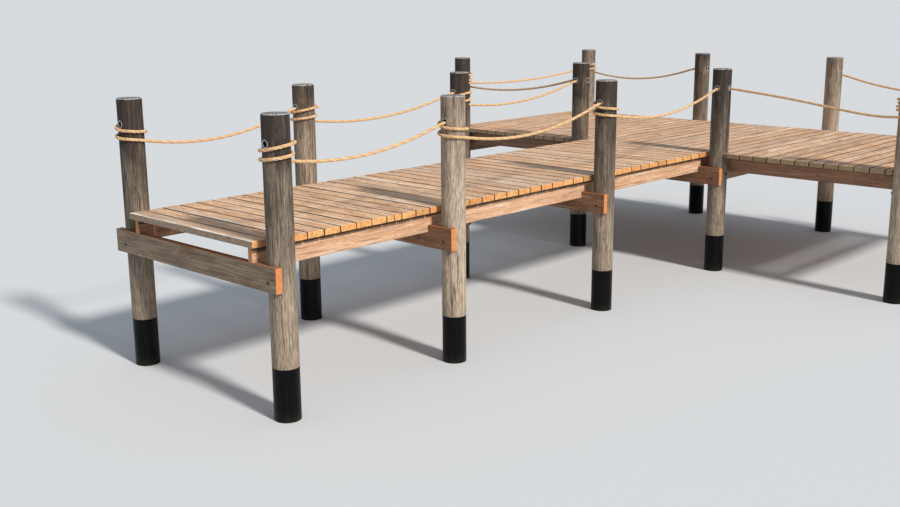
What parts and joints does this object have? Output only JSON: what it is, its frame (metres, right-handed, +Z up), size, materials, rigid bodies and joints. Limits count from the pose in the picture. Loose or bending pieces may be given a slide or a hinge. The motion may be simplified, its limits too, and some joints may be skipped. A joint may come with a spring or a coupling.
{
  "type": "wooden jetty",
  "caption": "T-shaped timber jetty on round piles with black sleeves at the water line, a boarded deck and rope rails.",
  "frame": {"origin": "middle of the plan at water level, where the piles are cut off", "axes": "+X from the walkway's free end towards the cross deck, +Y across the walkway to the left, +Z up"},
  "size_m": [9.9329, 6.7, 2.435],
  "materials": {
    "pile_timber": "weathered",
    "deck_timber": "worn",
    "beam_timber": "worn",
    "sleeve_plastic": "satin",
    "eye_steel": "satin",
    "rope_fibre": "matte"
  },
  "bodies": {
    "root": {"cross_caps": "beam_timber", "cross_deck_left": "deck_timber", "cross_deck_middle": "deck_timber", "cross_deck_right": "deck_timber", "cross_eyes": "eye_steel", "cross_sleeves": "sleeve_plastic", "cross_stringer_back": "beam_timber", "cross_stringer_front": "beam_timber", "pile_far_0": "pile_timber", "pile_far_1": "pile_timber", "pile_far_2": "pile_timber", "pile_far_3": "pile_timber", "pile_far_back": "pile_timber", "pile_left_back": "pile_timber", "pile_left_front": "pile_timber", "pile_near_0": "pile_timber", "pile_near_1": "pile_timber", "pile_near_2": "pile_timber", "pile_near_3": "pile_timber", "pile_near_back": "pile_timber", "pile_right_back": "pile_timber", "pile_right_front": "pile_timber", "rope_far_0_1": "rope_fibre", "rope_far_1_2": "rope_fibre", "rope_far_2_3": "rope_fibre", "rope_left_back": "rope_fibre", "rope_left_end": "rope_fibre", "rope_left_front": "rope_fibre", "rope_near_0_1": "rope_fibre", "rope_near_1_2": "rope_fibre", "rope_near_2_3": "rope_fibre", "rope_right_back": "rope_fibre", "rope_right_end": "rope_fibre", "rope_right_front": "rope_fibre", "walkway_caps": "beam_timber", "walkway_deck_1": "deck_timber", "walkway_deck_2": "deck_timber", "walkway_deck_3": "deck_timber", "walkway_eyes": "eye_steel", "walkway_sleeves": "sleeve_plastic", "walkway_stringer_far": "beam_timber", "walkway_stringer_near": "beam_timber"}
  },
  "joints": []
}
